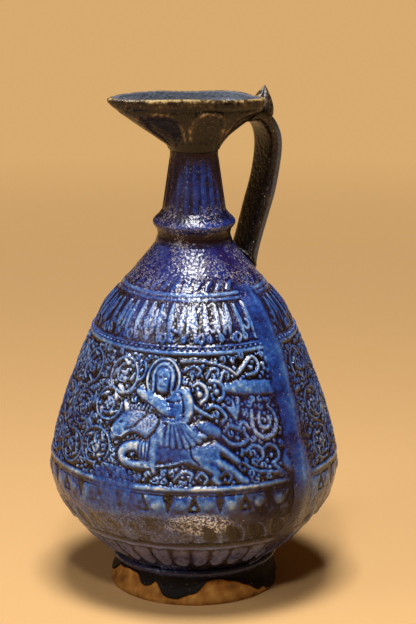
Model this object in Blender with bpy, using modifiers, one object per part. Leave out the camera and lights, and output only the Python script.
"""A moulded, pear-shaped pottery ewer with a boat-shaped mouth, as the pieces its potter luted together.

Units are metres and +Z is up. The origin is the centre of the foot's standing face.
The strap handle is towards +X and the pouring lip towards -X.
"""

import math

import bmesh
import bpy
from mathutils import Vector
from mathutils.geometry import interpolate_bezier

MM = 0.001

# The slip joint left between two pieces that are pressed together
CLEARANCE = 0.3 * MM

# Facets round a full turn, and points along each curved stretch of an outline
TURN_STEPS = 48
CURVE_STEPS = 8

# Foot ring
FOOT_HEIGHT = 17.1 * MM
FOOT_RADIUS = 44.0 * MM
FOOT_WAIST_RADIUS = 40.5 * MM
FOOT_TOP_WALL = 4.5 * MM
FOOT_BOTTOM_WALL = 9.0 * MM
FOOT_TOE = 2.0 * MM

# Coil of clay pressed into the corner between foot and body
FILLET_RISE = 2.4 * MM
FILLET_DROP = 3.4 * MM
FILLET_BULGE = 1.2 * MM

# Moulded body: knots of the outer side, and how far the curve holds its direction at each
BODY_WALL = 4.5 * MM
FOOT_JOINT_RADIUS = 41.0 * MM
BELLY_RADIUS = 75.0 * MM
BELLY_HEIGHT = 66.5 * MM
SHOULDER_RADIUS = 47.3 * MM
SHOULDER_HEIGHT = 149.5 * MM
NECK_ROOT_RADIUS = 18.5 * MM
NECK_ROOT_HEIGHT = 185.5 * MM
BASE_FLARE = Vector((19.0, 16.1)) * MM
BELLY_HOLD_BELOW = 18.5 * MM
BELLY_HOLD_ABOVE = 19.5 * MM
SHOULDER_HOLD_BELOW = Vector((6.2, -10.5)) * MM
SHOULDER_HOLD_ABOVE = Vector((-4.2, 7.1)) * MM
NECK_ROOT_HOLD = Vector((2.5, -6.5)) * MM

# Vertical joint of the two body halves, and the strip of clay smoothed over it
SEAM_AZIMUTH = math.radians(-76.0)
SEAM_WIDTH = 13.0 * MM
SEAM_THICKNESS = 1.2 * MM
SEAM_BOTTOM = 30.0 * MM
SEAM_TOP = 166.0 * MM

# Neck tube, with a spigot at each end
NECK_TOP_HEIGHT = 231.0 * MM
NECK_TOP_RADIUS = 12.4 * MM
NECK_LOW_RADIUS = 16.8 * MM
NECK_FLANGE_HEIGHT = 3.2 * MM
NECK_WALL = 4.0 * MM
NECK_SPIGOT_LENGTH = 6.0 * MM
MOUTH_SPIGOT_LENGTH = 4.0 * MM
MOUTH_SPIGOT_WALL = 2.0 * MM

# Ring moulding that covers the joint of neck and body
COLLAR_RADIUS = 21.2 * MM
COLLAR_HEIGHT = 9.4 * MM

# Boat-shaped mouth
MOUTH_BASE_RADIUS = 13.0 * MM
MOUTH_WALL = 3.6 * MM
SPOUT_REACH = 50.8 * MM
HANDLE_REACH = 37.0 * MM
MOUTH_HALF_WIDTH = 18.6 * MM
SPOUT_SQUARENESS = 1.8
HANDLE_SQUARENESS = 4.0
RIM_HEIGHT = 255.4 * MM
SPOUT_RISE = 5.9 * MM
MOUTH_FLARE = 0.45
MOUTH_SECTIONS = 7
RIM_BAND = 1 / 7

# Strap handle: points of its centre line as (x, z), from the mouth to the shoulder
STRAP_WIDTH = 19.5 * MM
STRAP_THICKNESS = 8.6 * MM
STRAP_SQUARENESS = 2.8
STRAP_FACETS = 20
STRAP_LINE = (
    Vector((28.0, 247.4)) * MM,
    Vector((36.6, 246.1)) * MM,
    Vector((43.4, 239.2)) * MM,
    Vector((45.8, 228.5)) * MM,
    Vector((43.1, 211.0)) * MM,
    Vector((37.8, 194.3)) * MM,
    Vector((28.7, 166.3)) * MM,
)

# Wad of clay under the strap's lower end
PAD_HEIGHT = 171.6 * MM
PAD_HALF_WIDTH = 13.0 * MM
PAD_HALF_LENGTH = 9.0 * MM
PAD_HALF_THICKNESS = 4.0 * MM

# Bud-shaped thumb rest on the strap's bend
THUMB_BASE = Vector((39.6, 0.0, 246.4)) * MM
THUMB_RADIUS = 7.8 * MM
THUMB_HEIGHT = 16.2 * MM
THUMB_LEAN = 3.6 * MM
THUMB_LOBES = 3
THUMB_LOBE_DEPTH = 0.16
THUMB_SECTIONS = 6
THUMB_FACETS = 24

# Glaze that ran down the foot: each tongue is (azimuth in degrees, half width in degrees, reach in metres)
GLAZE_THICKNESS = 0.8 * MM
GLAZE_TOP = FOOT_HEIGHT - FILLET_DROP - 0.5 * MM
GLAZE_BARE_EDGE = GLAZE_TOP - 0.8 * MM
GLAZE_LOWEST = 2.2 * MM
GLAZE_COLUMNS = 80
GLAZE_ROWS = 4
GLAZE_TONGUES = (
    (-159.0, 6.5, 5.0 * MM),
    (-133.0, 17.0, 7.0 * MM),
    (-138.0, 10.0, 2.6 * MM),
    (-70.0, 25.0, 5.5 * MM),
    (-68.0, 11.0, 4.2 * MM),
    (-46.0, 16.0, 7.0 * MM),
    (-15.0, 20.0, 6.0 * MM),
    (32.0, 12.0, 8.6 * MM),
    (78.0, 24.0, 5.0 * MM),
    (88.0, 7.0, 4.0 * MM),
    (146.0, 18.0, 7.0 * MM),
)

GLAZE_BLUE = (0.020, 0.040, 0.180, 1.0)
GLAZE_DARK = (0.012, 0.012, 0.025, 1.0)
BARE_CLAY = (0.420, 0.250, 0.085, 1.0)

parts = bpy.data.collections.new("ewer")
cutters = bpy.data.collections.new("ewer_cutters")


# Scene helpers

def clear_scene():
    for obj in list(bpy.data.objects):
        bpy.data.objects.remove(obj)
    for collection in (parts, cutters):
        bpy.context.scene.collection.children.link(collection)


def material(name, colour, roughness):
    made = bpy.data.materials.new(name)
    made.use_nodes = True
    shader = made.node_tree.nodes["Principled BSDF"]
    shader.inputs["Base Color"].default_value = colour
    shader.inputs["Roughness"].default_value = roughness
    shader.inputs["Metallic"].default_value = 0.0
    return made


def add_part(name, mesh, finish):
    obj = bpy.data.objects.new(name, mesh)
    mesh.materials.append(finish)
    parts.objects.link(obj)
    return obj


def add_cutter(name, mesh):
    obj = bpy.data.objects.new(name, mesh)
    obj.hide_render = True
    obj.display_type = "WIRE"
    cutters.objects.link(obj)
    return obj


def cut(obj, cutter, operation="DIFFERENCE"):
    step = obj.modifiers.new(f"{operation.lower()}_{cutter.name}", "BOOLEAN")
    step.operation = operation
    step.object = cutter


def round_shading(mesh, angle=math.radians(40.0)):
    mesh.shade_smooth()
    mesh.set_sharp_from_angle(angle=angle)


# Outlines, as (radius, height) points

def curve_through(start, start_hold, end_hold, end):
    """Points of one Bezier stretch, without its last one."""
    flat = interpolate_bezier(start, start_hold, end_hold, end, CURVE_STEPS + 1)
    return [Vector((point[0], point[1])) for point in flat[:-1]]


def body_side():
    """The body's outer side, from the neck root down to the foot joint."""
    neck = Vector((NECK_ROOT_RADIUS, NECK_ROOT_HEIGHT))
    shoulder = Vector((SHOULDER_RADIUS, SHOULDER_HEIGHT))
    belly = Vector((BELLY_RADIUS, BELLY_HEIGHT))
    foot = Vector((FOOT_JOINT_RADIUS, FOOT_HEIGHT + CLEARANCE))
    below = belly - Vector((0.0, BELLY_HOLD_BELOW))
    above = belly + Vector((0.0, BELLY_HOLD_ABOVE))
    points = curve_through(neck, neck + NECK_ROOT_HOLD, shoulder + SHOULDER_HOLD_ABOVE, shoulder)
    points += curve_through(shoulder, shoulder + SHOULDER_HOLD_BELOW, above, belly)
    points += curve_through(belly, below, foot + BASE_FLARE, foot)
    return points + [foot]


def moved_out(points, distance):
    """An outline that runs downwards, moved square to itself and away from the axis."""
    moved = []
    for index, point in enumerate(points):
        ahead = points[min(index + 1, len(points) - 1)]
        behind = points[max(index - 1, 0)]
        along = (ahead - behind).normalized()
        moved.append(point + Vector((-along.y, along.x)) * distance)
    return moved


def part_of_side(points, low, high):
    """The stretch of a downward outline between two heights, with points made at both ends."""
    kept = [point for point in points if low < point.y < high]
    return [Vector((radius_at(points, high), high)), *kept, Vector((radius_at(points, low), low))]


def radius_at(points, height):
    for upper, lower in zip(points, points[1:]):
        if lower.y <= height <= upper.y:
            share = (upper.y - height) / (upper.y - lower.y)
            return upper.x + share * (lower.x - upper.x)
    return points[0].x if height > points[0].y else points[-1].x


# Turned and lofted meshes

def outline_mesh(name, outline, closed):
    mesh = bpy.data.meshes.new(name)
    edges = [(index, index + 1) for index in range(len(outline) - 1)]
    if closed:
        edges.append((len(outline) - 1, 0))
    mesh.from_pydata([(point.x, 0.0, point.y) for point in outline], edges, [])
    return mesh


def turn(obj, steps=TURN_STEPS):
    """Turns an outline about Z. It runs down its outer side."""
    screw = obj.modifiers.new("turned", "SCREW")
    screw.axis = "Z"
    screw.angle = math.tau
    screw.steps = steps
    screw.render_steps = steps
    screw.use_merge_vertices = True
    screw.merge_threshold = 0.00001
    screw.use_smooth_shade = True
    return obj


def turned_part(name, outline, finish, closed=True):
    return turn(add_part(name, outline_mesh(name, outline, closed), finish))


def lofted_mesh(name, rings, closed_round=False):
    """A skin over rings of equal length. The ends are capped, or joined to each other if closed_round."""
    shape = bmesh.new()
    rows = [[shape.verts.new(point) for point in ring] for ring in rings]
    pairs = list(zip(rows, rows[1:]))
    if closed_round:
        pairs.append((rows[-1], rows[0]))
    for low, high in pairs:
        count = len(low)
        for index in range(count):
            after = (index + 1) % count
            shape.faces.new((low[index], low[after], high[after], high[index]))
    if not closed_round:
        shape.faces.new(rows[0][::-1])
        shape.faces.new(rows[-1])
    bmesh.ops.recalc_face_normals(shape, faces=shape.faces)
    mesh = bpy.data.meshes.new(name)
    shape.to_mesh(mesh)
    shape.free()
    round_shading(mesh)
    return mesh


def mesh_of_curve(name, curve):
    """The evaluated tube of a curve object as a welded mesh. The curve is removed."""
    graph = bpy.context.evaluated_depsgraph_get()
    mesh = bpy.data.meshes.new_from_object(curve.evaluated_get(graph))
    mesh.name = name
    shape = bmesh.new()
    shape.from_mesh(mesh)
    bmesh.ops.remove_doubles(shape, verts=shape.verts, dist=0.00001)
    bmesh.ops.recalc_face_normals(shape, faces=shape.faces)
    shape.to_mesh(mesh)
    shape.free()
    mesh.transform(curve.matrix_world)
    bpy.data.objects.remove(curve)
    round_shading(mesh)
    return mesh


# Foot

def foot_side():
    """The foot's outer side, from the joint with the body down to the standing face."""
    top = Vector((FOOT_WAIST_RADIUS, FOOT_HEIGHT))
    toe = Vector((FOOT_RADIUS, FOOT_TOE))
    sole = Vector((FOOT_RADIUS - 0.2 * FOOT_TOE, 0.0))
    drop = Vector((0.0, (FOOT_HEIGHT - FOOT_TOE) / 2))
    return curve_through(top, top - drop, toe + 0.2 * drop, toe) + [toe, sole]


def make_foot_ring(finish):
    side = foot_side()
    inner_sole = Vector((side[-1].x - FOOT_BOTTOM_WALL, 0.0))
    inner_top = Vector((FOOT_WAIST_RADIUS - FOOT_TOP_WALL, FOOT_HEIGHT))
    return turned_part("foot_ring", side + [inner_sole, inner_top], finish)


def make_foot_fillet(finish):
    """A coil whose back follows the body's underside and the foot's wall, with a rounded face."""
    underside = moved_out(body_side(), CLEARANCE)
    wall = moved_out(foot_side(), CLEARANCE)
    back = part_of_side(underside, underside[-1].y, FOOT_HEIGHT + CLEARANCE + FILLET_RISE)
    corner = Vector((FOOT_WAIST_RADIUS + CLEARANCE, FOOT_HEIGHT + CLEARANCE - FILLET_DROP / 4))
    foot_end = Vector((radius_at(wall, FOOT_HEIGHT - FILLET_DROP), FOOT_HEIGHT - FILLET_DROP))
    outward = Vector((1.0, -1.0)).normalized() * FILLET_BULGE
    face = curve_through(back[0], back[0] + 2 * outward, foot_end + 2 * outward, foot_end)
    return turned_part("foot_fillet", [*face, foot_end, corner, *back[::-1][:-1]], finish)


def tongue_reach(azimuth):
    """How far the glaze ran below its bare edge at an azimuth in degrees."""
    reach = 0.0
    for centre, half_width, length in GLAZE_TONGUES:
        away = (azimuth - centre + 180.0) % 360.0 - 180.0
        reach += length * math.exp(-((away / half_width) ** 4))
    return reach


def make_glaze_run(finish):
    """A thin coat on the foot whose lower edge hangs in tongues."""
    skin = moved_out(foot_side(), CLEARANCE)
    coat = moved_out(foot_side(), CLEARANCE + GLAZE_THICKNESS)
    rings = []
    for side, order in ((coat, range(GLAZE_ROWS + 1)), (skin, range(GLAZE_ROWS, -1, -1))):
        for row in order:
            ring = []
            for column in range(GLAZE_COLUMNS):
                turn_share = column / GLAZE_COLUMNS
                low = max(GLAZE_BARE_EDGE - tongue_reach(360.0 * turn_share), GLAZE_LOWEST)
                height = GLAZE_TOP + (low - GLAZE_TOP) * row / GLAZE_ROWS
                angle = math.tau * turn_share
                radius = radius_at(side, height)
                ring.append((radius * math.cos(angle), radius * math.sin(angle), height))
            rings.append(ring)
    return add_part("glaze_run", lofted_mesh("glaze_run", rings, closed_round=True), finish)


# Body

def body_outline():
    """The whole hollow body: up the inside from the floor's centre, then down the outside."""
    outside = body_side()
    inside = [point for point in moved_out(outside, -BODY_WALL) if point.y > FOOT_HEIGHT + BODY_WALL]
    lip = Vector((NECK_ROOT_RADIUS - BODY_WALL, NECK_ROOT_HEIGHT))
    inside = [point for point in inside if point.x > lip.x and point.y < lip.y]
    floor = Vector((0.0, FOOT_HEIGHT + CLEARANCE + BODY_WALL))
    floor_edge = Vector((inside[-1].x - BODY_WALL, floor.y))
    underside = Vector((0.0, outside[-1].y))
    return [floor, floor_edge, *inside[::-1], lip, *outside, underside]


def seam_block(name, azimuth, near, width):
    """A block that reaches out from the seam plane, or along it, past the whole body."""
    size = 2.5 * BELLY_RADIUS
    bpy.ops.mesh.primitive_cube_add(size=1.0)
    block = bpy.context.active_object
    mesh = block.data
    bpy.data.objects.remove(block)
    for vertex in mesh.vertices:
        vertex.co.x = near + (vertex.co.x + 0.5) * size
        vertex.co.y = vertex.co.y * width
        vertex.co.z = NECK_TOP_HEIGHT * (vertex.co.z + 0.45)
    cutter = add_cutter(name, mesh)
    cutter.rotation_euler.z = azimuth
    return cutter


def make_body_halves(finish):
    """Two press-moulded halves that meet on the seam plane."""
    halves = (("body_front_half", 1.0), ("body_back_half", -1.0))
    for name, side in halves:
        half = turned_part(name, body_outline(), finish, closed=False)
        azimuth = SEAM_AZIMUTH + side * math.pi / 2
        cut(half, seam_block(f"{name}_cutter", azimuth, -CLEARANCE / 2, BELLY_RADIUS * 4))


def make_seam_strips(finish):
    """A strip of clay smoothed over each of the two joints."""
    back = part_of_side(moved_out(body_side(), CLEARANCE), SEAM_BOTTOM, SEAM_TOP)
    face = part_of_side(moved_out(body_side(), CLEARANCE + SEAM_THICKNESS), SEAM_BOTTOM, SEAM_TOP)
    for name, azimuth in (("seam_strip_right", SEAM_AZIMUTH), ("seam_strip_left", SEAM_AZIMUTH + math.pi)):
        strip = turned_part(name, [*face, *back[::-1]], finish)
        cut(strip, seam_block(f"{name}_cutter", azimuth, NECK_ROOT_RADIUS / 2, SEAM_WIDTH), "INTERSECT")


# Neck and collar

def flange_top():
    return NECK_ROOT_HEIGHT + CLEARANCE + NECK_FLANGE_HEIGHT


def collar_top():
    return flange_top() + CLEARANCE + COLLAR_HEIGHT


def make_neck(finish):
    """A tapering tube with a flange that stands on the body and a spigot at each end."""
    bore_top = NECK_TOP_RADIUS - NECK_WALL
    spigot = NECK_ROOT_RADIUS - BODY_WALL - CLEARANCE
    bore_low = spigot - NECK_WALL / 2
    seat = NECK_ROOT_HEIGHT + CLEARANCE
    outline = [
        (bore_top, NECK_TOP_HEIGHT + MOUTH_SPIGOT_LENGTH),
        (bore_top + MOUTH_SPIGOT_WALL, NECK_TOP_HEIGHT + MOUTH_SPIGOT_LENGTH),
        (bore_top + MOUTH_SPIGOT_WALL, NECK_TOP_HEIGHT),
        (NECK_TOP_RADIUS, NECK_TOP_HEIGHT),
        (NECK_LOW_RADIUS, collar_top()),
        (NECK_LOW_RADIUS, flange_top()),
        (NECK_ROOT_RADIUS, flange_top()),
        (NECK_ROOT_RADIUS, seat),
        (spigot, seat),
        (spigot, seat - NECK_SPIGOT_LENGTH),
        (bore_low, seat - NECK_SPIGOT_LENGTH),
        (bore_low, collar_top()),
    ]
    return turned_part("neck", [Vector(point) for point in outline], finish)


def make_collar_ring(finish):
    """A half-round ring that stands on the neck's flange."""
    bore = NECK_LOW_RADIUS + CLEARANCE
    low = flange_top() + CLEARANCE
    middle = Vector((bore, low + COLLAR_HEIGHT / 2))
    outline = []
    for step in range(CURVE_STEPS + 1):
        angle = math.pi * (0.5 - step / CURVE_STEPS)
        bulge = (COLLAR_RADIUS - bore) * math.cos(angle)
        outline.append(middle + Vector((bulge, COLLAR_HEIGHT / 2 * math.sin(angle))))
    return turned_part("collar_ring", outline, finish)


# Mouth

def rim_radius(angle):
    """The boat-shaped rim in plan, long and pointed towards the spout and blunt towards the handle."""
    if math.cos(angle) < 0:
        reach, squareness = SPOUT_REACH, SPOUT_SQUARENESS
    else:
        reach, squareness = HANDLE_REACH, HANDLE_SQUARENESS
    along = (abs(math.cos(angle)) / reach) ** squareness
    across = (abs(math.sin(angle)) / MOUTH_HALF_WIDTH) ** squareness
    return (along + across) ** (-1 / squareness)


def rim_height(angle):
    """The rim climbs evenly from the handle, at angle 0, to the spout."""
    from_handle = 1 - abs(angle % math.tau - math.pi) / math.pi
    return RIM_HEIGHT + SPOUT_RISE * from_handle


def mouth_base():
    return NECK_TOP_HEIGHT + CLEARANCE


def mouth_ring(share, base_radius, inset):
    """One level of the mouth's wall: share is 0 at the neck and 1 at the rim."""
    up = min(share / (1 - RIM_BAND), 1.0)
    eased = (1 - MOUTH_FLARE) * up + MOUTH_FLARE * up * up * (3 - 2 * up)
    ring = []
    for step in range(TURN_STEPS):
        angle = math.tau * step / TURN_STEPS
        radius = base_radius + (rim_radius(angle) - inset - base_radius) * eased
        height = mouth_base() + (rim_height(angle) - mouth_base()) * share
        ring.append((radius * math.cos(angle), radius * math.sin(angle), height))
    return ring


def mouth_wall(base_radius, inset):
    return [mouth_ring(level / MOUTH_SECTIONS, base_radius, inset) for level in range(MOUTH_SECTIONS + 1)]


def make_mouth(finish):
    """A flaring cup with a socket that takes the neck's upper spigot."""
    socket = NECK_TOP_RADIUS - NECK_WALL + MOUTH_SPIGOT_WALL + CLEARANCE
    rings = mouth_wall(MOUTH_BASE_RADIUS, 0.0) + mouth_wall(socket, MOUTH_WALL)[::-1]
    return add_part("mouth_cup", lofted_mesh("mouth_cup", rings, closed_round=True), finish)


# Handle

def smooth_line(points):
    """A curve object's Bezier line through points of the XZ plane."""
    line = bpy.data.curves.new("strap_line", "CURVE")
    line.dimensions = "3D"
    line.resolution_u = 4
    line.use_fill_caps = True
    spline = line.splines.new("BEZIER")
    spline.bezier_points.add(len(points) - 1)
    for knot, point in zip(spline.bezier_points, points):
        knot.co = (point.x, 0.0, point.y)
        knot.handle_left_type = "AUTO"
        knot.handle_right_type = "AUTO"
    return line


def strap_section(name, growth):
    """The strap's cross-section: a rounded rectangle, grown on every side."""
    section = bpy.data.curves.new(name, "CURVE")
    section.dimensions = "2D"
    spline = section.splines.new("POLY")
    spline.points.add(STRAP_FACETS - 1)
    spline.use_cyclic_u = True
    for index, point in enumerate(spline.points):
        angle = math.tau * index / STRAP_FACETS
        size = (abs(math.cos(angle)) ** STRAP_SQUARENESS + abs(math.sin(angle)) ** STRAP_SQUARENESS)
        reach = size ** (-1 / STRAP_SQUARENESS)
        x = (STRAP_WIDTH / 2 + growth) * reach * math.cos(angle)
        y = (STRAP_THICKNESS / 2 + growth) * reach * math.sin(angle)
        point.co = (x, y, 0.0, 1.0)
    return section


def strap_mesh(name, growth=0.0):
    section = bpy.data.objects.new(f"{name}_section", strap_section(f"{name}_section", growth))
    line = smooth_line(STRAP_LINE)
    line.bevel_mode = "OBJECT"
    line.bevel_object = section
    curve = bpy.data.objects.new(f"{name}_line", line)
    for obj in (section, curve):
        cutters.objects.link(obj)
    bpy.context.view_layer.update()
    mesh = mesh_of_curve(name, curve)
    bpy.data.objects.remove(section)
    return mesh


def pad_mesh(name, growth=0.0):
    """A flattened ball lying on the shoulder under the strap's end."""
    side = body_side()
    radius = radius_at(side, PAD_HEIGHT)
    slope = Vector((radius_at(side, PAD_HEIGHT - PAD_HALF_LENGTH / 2) - radius, -PAD_HALF_LENGTH / 2)).normalized()
    shape = bmesh.new()
    bmesh.ops.create_uvsphere(shape, u_segments=20, v_segments=10, radius=1.0)
    for vertex in shape.verts:
        out = vertex.co.z * (PAD_HALF_THICKNESS + growth)
        down = vertex.co.x * (PAD_HALF_LENGTH + growth)
        across = vertex.co.y * (PAD_HALF_WIDTH + growth)
        x = radius + slope.x * down - slope.y * out
        z = PAD_HEIGHT + slope.y * down + slope.x * out
        vertex.co = (x, across, z)
    bmesh.ops.recalc_face_normals(shape, faces=shape.faces)
    mesh = bpy.data.meshes.new(name)
    shape.to_mesh(mesh)
    shape.free()
    round_shading(mesh)
    return mesh


def thumb_mesh(name):
    """A pointed bud with rounded lobes, leaning out over the handle."""
    rings = []
    for level in range(THUMB_SECTIONS):
        share = level / THUMB_SECTIONS
        radius = THUMB_RADIUS * (1 - share) ** 0.75
        ring = []
        for step in range(THUMB_FACETS):
            angle = math.tau * step / THUMB_FACETS
            lobed = radius * (1 + THUMB_LOBE_DEPTH * math.cos(THUMB_LOBES * angle))
            place = THUMB_BASE + Vector((THUMB_LEAN * share, 0.0, THUMB_HEIGHT * share))
            ring.append(place + Vector((lobed * math.cos(angle), lobed * math.sin(angle), 0.0)))
        rings.append(ring)
    return lofted_mesh(name, rings)


def make_handle(finish):
    """Strap, pad and thumb rest, each cut back from what it is pressed against."""
    shoulder = turn(add_cutter("shoulder_gap", outline_mesh("shoulder_gap", gap_outline(), closed=False)))
    mouth = add_cutter("mouth_gap", lofted_mesh("mouth_gap", mouth_wall(MOUTH_BASE_RADIUS + CLEARANCE, -CLEARANCE)))
    pad_gap = add_cutter("pad_gap", pad_mesh("pad_gap", CLEARANCE))
    strap_gap = add_cutter("strap_gap", strap_mesh("strap_gap", CLEARANCE))
    strap = add_part("handle_strap", strap_mesh("handle_strap"), finish)
    for cutter in (mouth, pad_gap, shoulder):
        cut(strap, cutter)
    pad = add_part("handle_pad", pad_mesh("handle_pad"), finish)
    cut(pad, shoulder)
    thumb = add_part("thumb_rest", thumb_mesh("thumb_rest"), finish)
    for cutter in (mouth, strap_gap):
        cut(thumb, cutter)


def gap_outline():
    """The body's outside with the joint's gap added, closed on the axis at both ends."""
    side = moved_out(body_side(), CLEARANCE)
    return [Vector((0.0, side[0].y)), *side, Vector((0.0, side[-1].y))]


def main():
    clear_scene()
    blue = material("cobalt_glaze", GLAZE_BLUE, 0.2)
    dark = material("pooled_glaze", GLAZE_DARK, 0.15)
    clay = material("bare_clay", BARE_CLAY, 0.8)
    make_foot_ring(clay)
    make_foot_fillet(blue)
    make_glaze_run(dark)
    make_body_halves(blue)
    make_seam_strips(blue)
    make_neck(blue)
    make_collar_ring(blue)
    make_mouth(dark)
    make_handle(dark)


main()
